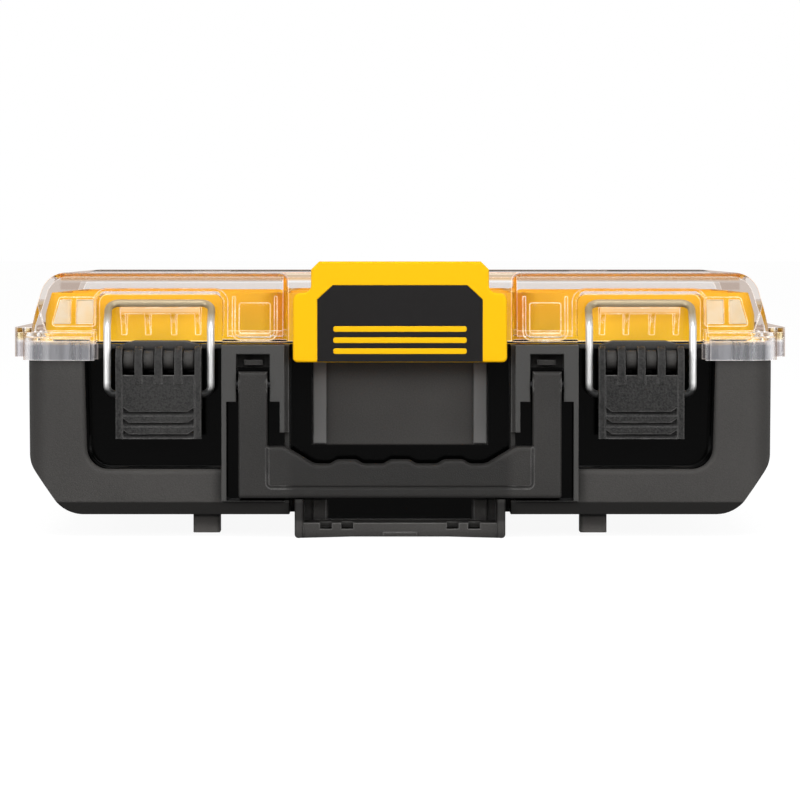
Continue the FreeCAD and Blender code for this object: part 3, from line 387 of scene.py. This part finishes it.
# tints on the lid: grey on the lower flange; painted reflections of the cups on the upper flange and on the
# top of the front wall, and a painted pale-grey reflection just below that
lidTintsAndReflections = [
    ((0.55, 0.53, 0.54), [placeBox((0.1765, 0.190), flangeDepth, (0.080, 0.0905))]),
    ((0.96, 0.82, 0.50), [placeBox((0.1775, 0.190), flangeDepth, (0.0905, 0.0965))]),
    ((0.85, 0.60, 0.36), [placeBox((overMiddle, 0.160), frontWall, (0.1195, 0.1245))]),
    ((0.80, 0.75, 0.72), [placeBox((overMiddle, 0.160), frontWall, (0.1150, 0.1195))]),
]
clearLook = {
    "tint": (0.99, 0.99, 0.99), "hazy": (0.97, 0.97, 0.975), "tints": lidTintsAndReflections, "ior": 1.3,
    "roughness": (0.005, 0.03), "smearScale": 34.0, "edgeRadius": 0.0007, "edgeRoughness": 0.30,
    "frostRoughness": 0.34, "streaks": (300.0, 300.0, 9.0), "leastFrost": 0.5, "frostRange": (0.4, 0.6),
    # glows painted on the lid: highlights on its edges and on two bands, and light on the frosted skirts
    "edgeGlow": (0.85, 0.80, 0.77), "bandGlow": (0.26, 0.25, 0.25), "frostGlow": (0.12, 0.12, 0.13),
    "outline": (0.80, 0.74, 0.70), "outlineRange": (0.45, 0.85),
}
# two bands on the front wall painted as glowing highlights; frosted skirts, rough and streaked, with a
# painted glow
highlightBands = [placeBox((0.0935, 0.1315), (-0.132, -0.112), (0.1045, 0.1098)),
             placeBox((0.086, 0.139), (-0.132, -0.108), (0.1118, 0.1148))]
frostedSkirts = [placeBox((0.1415, 0.190), (-0.140, 0.115), (0.082, 0.0925))]


# noise drawn out along the height of the part
def streakNoise(tree, scale):
    place = addNode(tree, "ShaderNodeTexCoord")
    stretch = addNode(tree, "ShaderNodeMapping")
    stretch.inputs["Scale"].default_value = scale
    streak = addNode(tree, "ShaderNodeTexNoise")
    streak.inputs["Scale"].default_value = 1.0
    join(tree, place.outputs["Object"], stretch.inputs["Vector"])
    join(tree, stretch.outputs["Vector"], streak.inputs["Vector"])
    return streak


def clearPlastic(name, look):
    material, tree, shader = newMaterial(name)
    shader.inputs["Transmission Weight"].default_value = 1.0
    shader.inputs["IOR"].default_value = look["ior"]
    smear = placeGroup(tree, handling, Scale=look["smearScale"])
    edge = placeGroup(tree, edgeHighlight, Radius=look["edgeRadius"])
    low, high = look["roughness"]
    roughness = remap(tree, smear.outputs["Smear"], low, high)
    streak = streakNoise(tree, look["streaks"])
    uneven = remap(tree, streak.outputs["Fac"], look["leastFrost"], 1.0, *look["frostRange"])
    frost = combine(tree, "MULTIPLY", zoneMask(tree, frostedSkirts), uneven)
    roughness = mixValue(tree, edge.outputs["Highlight"], roughness, look["edgeRoughness"])
    roughness = mixValue(tree, frost, roughness, look["frostRoughness"])
    join(tree, roughness, shader.inputs["Roughness"])
    color = mixColor(tree, smear.outputs["Smear"], look["tint"], look["hazy"])
    # painted tints and reflections on the flange and the front wall
    for zoneTint, boxes in look["tints"]:
        color = mixColor(tree, zoneMask(tree, boxes), color, zoneTint)
    join(tree, color, shader.inputs["Base Color"])
    # painted light as a glow: on the frosted skirts, on the bands and on the edges
    glow = mixColor(tree, frost, (0.0, 0.0, 0.0), look["frostGlow"])
    glow = mixColor(tree, zoneMask(tree, highlightBands), glow, look["bandGlow"])
    glow = mixColor(tree, edge.outputs["Highlight"], glow, look["edgeGlow"])
    join(tree, glow, shader.inputs["Emission Color"])
    shader.inputs["Emission Strength"].default_value = 1.0
    join(tree, edge.outputs["Normal"], shader.inputs["Normal"])
    outline = addNode(tree, "ShaderNodeBsdfTransparent")
    outline.inputs["Color"].default_value = (*look["outline"], 1.0)
    slant = addNode(tree, "ShaderNodeLayerWeight")
    rim = remap(tree, slant.outputs["Facing"], 0.0, 1.0, *look["outlineRange"])
    grazing = addNode(tree, "ShaderNodeMixShader")
    join(tree, rim, grazing.inputs["Fac"])
    join(tree, shader.outputs["BSDF"], grazing.inputs[1])
    join(tree, outline.outputs["BSDF"], grazing.inputs[2])
    path = addNode(tree, "ShaderNodeLightPath")
    passing = combine(tree, "MAXIMUM", path.outputs["Is Shadow Ray"], path.outputs["Is Diffuse Ray"])
    through = addNode(tree, "ShaderNodeBsdfTransparent")
    whole = addNode(tree, "ShaderNodeMixShader")
    join(tree, passing, whole.inputs["Fac"])
    join(tree, grazing.outputs["Shader"], whole.inputs[1])
    join(tree, through.outputs["BSDF"], whole.inputs[2])
    join(tree, whole.outputs["Shader"], tree.nodes["Material Output"].inputs["Surface"])
    return material


# drawn steel wire with fine streaks along its length, painted darker and warm on the top bars before the
# cups, as shade and a reflection of the cups, and painted dark as shade on the feet in the latch bays
steelLooks = {
    "brightSteel": {
        "bright": (0.92, 0.915, 0.905), "dull": (0.80, 0.80, 0.795), "top": (0.48, 0.39, 0.25),
        "foot": (0.03, 0.03, 0.03), "roughness": (0.34, 0.46), "metal": 0.5},
    "darkSteel": {
        "bright": (0.055, 0.055, 0.057), "dull": (0.035, 0.035, 0.036), "top": (0.04, 0.04, 0.04),
        "foot": (0.04, 0.04, 0.04), "roughness": (0.32, 0.48), "metal": 1.0},
}
wireMake = {"streaks": (2600.0, 2600.0, 90.0), "detail": 3.0, "lineRange": (0.35, 0.65), "smearScale": 60.0,
            "streakDepth": 0.00001}
wirePlace = ((0.08, 0.15), (-0.2, -0.1))
wireFeetShade = [placeBox(*wirePlace, (0.05, 0.0725), 0.004)]
wireTopsShadeAndReflection = [placeBox(*wirePlace, (0.099, 0.13), 0.006)]


def drawnSteel(name, look):
    material, tree, shader = newMaterial(name)
    streak = streakNoise(tree, wireMake["streaks"])
    streak.inputs["Detail"].default_value = wireMake["detail"]
    line = remap(tree, streak.outputs["Fac"], 0.0, 1.0, *wireMake["lineRange"])
    color = mixColor(tree, line, look["dull"], look["bright"])
    # painted shade and a warm reflection of the cups on the top bars, painted shade on the feet
    color = mixColor(tree, zoneMask(tree, wireTopsShadeAndReflection), color, look["top"])
    color = mixColor(tree, zoneMask(tree, wireFeetShade), color, look["foot"])
    join(tree, color, shader.inputs["Base Color"])
    smear = placeGroup(tree, handling, Scale=wireMake["smearScale"])
    low, high = look["roughness"]
    join(tree, remap(tree, smear.outputs["Smear"], low, high), shader.inputs["Roughness"])
    bump = addNode(tree, "ShaderNodeBump")
    bump.inputs["Distance"].default_value = wireMake["streakDepth"]
    join(tree, streak.outputs["Fac"], bump.inputs["Height"])
    join(tree, bump.outputs["Normal"], shader.inputs["Normal"])
    shader.inputs["Metallic"].default_value = look["metal"]
    return material


finishes = {name: mouldedPlastic(name, look) for name, look in {**blackLooks, **yellowLooks}.items()}
finishes["clearLid"] = clearPlastic("clearLid", clearLook)
for name, look in steelLooks.items():
    finishes[name] = drawnSteel(name, look)
slotFinish = {
    "tub_plastic": "tubBlack", "handle_plastic": "handleBlack", "lever_plastic": "leverBlack",
    "plate_plastic": "plateBlack", "seal_rubber": "sealBlack", "clip_plastic": "clipYellow",
    "cup_plastic": "cupYellow", "clear_plastic": "clearLid", "steel": "brightSteel",
    "dark_steel": "darkSteel",
}
nodeSlot = {row["node"]: row["material_slot"] for row in frame["record"]["subparts"]}
for name, node in nodes.items():
    node.data.materials.clear()
    node.data.materials.append(finishes[slotFinish[nodeSlot[name]]])
print("finishes set on", len(nodes), "nodes")


# frosted panes inside the frames of the lid's front corners, set on the wall itself; sizes in metres
paneLook = {"outlines": [[(0.1544, 0.0996), (0.1626, 0.0996), (0.1594, 0.1110), (0.1544, 0.1110)],
                         [(0.1437, 0.0996), (0.1516, 0.0996), (0.1516, 0.1110), (0.1437, 0.1110)]],
            "inset": 0.0006, "stand": 0.0005, "sink": 0.0003, "castFrom": -1.0,
            "color": (0.86, 0.76, 0.60), "milky": (0.84, 0.66, 0.40), "roughness": (0.35, 0.55),
            "clearness": 0.35, "ior": 1.3, "smearScale": 120.0}


def frostedPlastic(name, look):
    material, tree, shader = newMaterial(name)
    shader.inputs["Transmission Weight"].default_value = look["clearness"]
    shader.inputs["IOR"].default_value = look["ior"]
    smear = placeGroup(tree, handling, Scale=look["smearScale"])
    color = mixColor(tree, smear.outputs["Smear"], look["milky"], look["color"])
    join(tree, color, shader.inputs["Base Color"])
    low, high = look["roughness"]
    join(tree, remap(tree, smear.outputs["Smear"], low, high), shader.inputs["Roughness"])
    return material


def wallPoint(x, z, stand):
    lid = nodes["lid_cover"]
    toLid = lid.matrix_world.inverted()
    start = toLid @ Vector((x, paneLook["castFrom"], z))
    hit = lid.ray_cast(start, toLid.to_3x3() @ Vector((0.0, 1.0, 0.0)))
    place = lid.matrix_world @ hit[1]
    return (place.x, place.y - stand, place.z)


def makePane(name, outline, side):
    corners = [Vector((side * x, z)) for x, z in outline]
    middle = sum(corners, Vector((0.0, 0.0))) / len(corners)
    inner = [corner + (middle - corner).normalized() * paneLook["inset"] for corner in corners]
    rings = [[wallPoint(x, z, -paneLook["sink"]) for x, z in corners],
             [wallPoint(x, z, paneLook["stand"] / 2) for x, z in corners],
             [wallPoint(x, z, paneLook["stand"]) for x, z in inner]]
    count = len(corners)
    faces = [tuple(range(count)), tuple(range(2 * count, 3 * count))]
    for ring in range(2):
        for step in range(count):
            following = (step + 1) % count
            faces.append((ring * count + step, ring * count + following,
                          (ring + 1) * count + following, (ring + 1) * count + step))
    mesh = bpy.data.meshes.new(name)
    mesh.from_pydata([point for ring in rings for point in ring], [], faces)
    solid = bmesh.new()
    solid.from_mesh(mesh)
    bmesh.ops.recalc_face_normals(solid, faces=solid.faces)
    solid.to_mesh(mesh)
    solid.free()
    mesh.materials.append(finishes["frostedPane"])
    pane = bpy.data.objects.new(name, mesh)
    scene.collection.objects.link(pane)
    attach(pane, "lid")


finishes["frostedPane"] = frostedPlastic("frostedPane", paneLook)
for sideName, side in (("left", -1), ("right", 1)):
    for place, outline in zip(("outer", "inner"), paneLook["outlines"]):
        makePane(sideName + "_" + place + "_pane", outline, side)
print("panes set in the lid's corners")


# white studio: backdrop and floor read as white to the eye and through the lid, the floor is dim in
# reflections, and the room behind the camera is dim
studio = {"worldLight": 0.36, "roomTone": 0.07, "roomFrom": -0.35, "roomTo": 0.5, "ceilingTone": 0.3,
          "ceilingRange": (0.45, 0.9), "floorSize": 60.0, "floorColor": (0.16, 0.16, 0.16),
          "floorLift": 0.93, "floorGloss": 0.16}


# 1 for rays to the eye and through the lid, the given share for reflections, 0 for the light itself
def seenDirectly(tree, glossShare):
    path = addNode(tree, "ShaderNodeLightPath")
    gloss = combine(tree, "MULTIPLY", path.outputs["Is Glossy Ray"], glossShare)
    return combine(tree, "MAXIMUM", gloss, path.outputs["Is Camera Ray"], path.outputs["Is Transmission Ray"])


def makeWorld():
    world = bpy.data.worlds.new("whiteRoom")
    scene.world = world
    world.use_nodes = True
    tree = world.node_tree
    background = tree.nodes["Background"]
    background.inputs["Color"].default_value = (1.0, 1.0, 1.0, 1.0)
    place = addNode(tree, "ShaderNodeTexCoord")
    axes = addNode(tree, "ShaderNodeSeparateXYZ")
    join(tree, place.outputs["Generated"], axes.inputs["Vector"])
    room = remap(tree, axes.outputs["Y"], studio["roomTone"], 1.0, studio["roomFrom"], studio["roomTo"])
    ceiling = remap(tree, axes.outputs["Z"], 1.0, studio["ceilingTone"], *studio["ceilingRange"])
    seen = combine(tree, "MULTIPLY", room, ceiling)
    path = addNode(tree, "ShaderNodeLightPath")
    seen = combine(tree, "MAXIMUM", seen, path.outputs["Is Transmission Ray"])
    strength = mixValue(tree, seenDirectly(tree, 1.0), studio["worldLight"], seen)
    join(tree, strength, background.inputs["Strength"])


def makeFloor():
    half = studio["floorSize"] / 2
    mesh = bpy.data.meshes.new("floor")
    corners = [(-half, -half, 0), (half, -half, 0), (half, half, 0), (-half, half, 0)]
    mesh.from_pydata(corners, [], [(0, 1, 2, 3)])
    floor = bpy.data.objects.new("floor", mesh)
    scene.collection.objects.link(floor)
    material, tree, shader = newMaterial("paleFloor")
    tree.nodes.remove(shader)
    matte = addNode(tree, "ShaderNodeBsdfDiffuse")
    matte.inputs["Color"].default_value = (*studio["floorColor"], 1.0)
    lift = addNode(tree, "ShaderNodeEmission")
    seen = seenDirectly(tree, studio["floorGloss"])
    join(tree, remap(tree, seen, 0.0, studio["floorLift"]), lift.inputs["Strength"])
    both = addNode(tree, "ShaderNodeAddShader")
    join(tree, matte.outputs["BSDF"], both.inputs[0])
    join(tree, lift.outputs["Emission"], both.inputs[1])
    join(tree, both.outputs["Shader"], tree.nodes["Material Output"].inputs["Surface"])
    mesh.materials.append(material)


softboxes = {
    "overhead": {"place": (0.0, -1.1, 1.7), "size": (1.6, 0.8), "watts": 17.0},
    "leftBox": {"place": (-1.5, -1.75, 0.5), "size": (0.9, 1.0), "watts": 18.0},
    "rightBox": {"place": (1.5, -1.75, 0.5), "size": (0.9, 1.0), "watts": 18.0},
    "frontBox": {"place": (0.0, -2.3, 0.62), "size": (1.2, 0.4), "watts": 8.5},
}


def makeSoftbox(name, box):
    light = bpy.data.lights.new(name, "AREA")
    light.shape = "RECTANGLE"
    light.size, light.size_y = box["size"]
    light.energy = box["watts"]
    lamp = bpy.data.objects.new(name, light)
    scene.collection.objects.link(lamp)
    lamp.location = box["place"]
    aim = (cadBox[0] + cadBox[1]) / 2 - Vector(box["place"])
    lamp.rotation_euler = aim.to_track_quat("-Z", "Y").to_euler()


makeWorld()
makeFloor()
for boxName, box in softboxes.items():
    makeSoftbox(boxName, box)
print("studio lit by", len(softboxes), "softboxes")


# straight-on view from two metres, a little above the lid's height
eyeView = {"distance": 2.0, "eyeHeight": 0.1376, "aimHeight": 0.0646, "frameWidth": 0.372, "nearest": 0.05}


def makeCamera():
    front = cadBox[0].y
    eye = Vector((0.0, front - eyeView["distance"], eyeView["eyeHeight"]))
    aim = Vector((0.0, front, eyeView["aimHeight"]))
    camera = bpy.data.cameras.new("frontCamera")
    camera.lens = camera.sensor_width * (aim - eye).length / eyeView["frameWidth"]
    camera.clip_start = eyeView["nearest"]
    holder = bpy.data.objects.new("frontCamera", camera)
    scene.collection.objects.link(holder)
    holder.location = eye
    holder.rotation_euler = (aim - eye).to_track_quat("-Z", "Y").to_euler()
    scene.camera = holder


makeCamera()
scene.view_settings.view_transform = "Standard"
print("camera set")
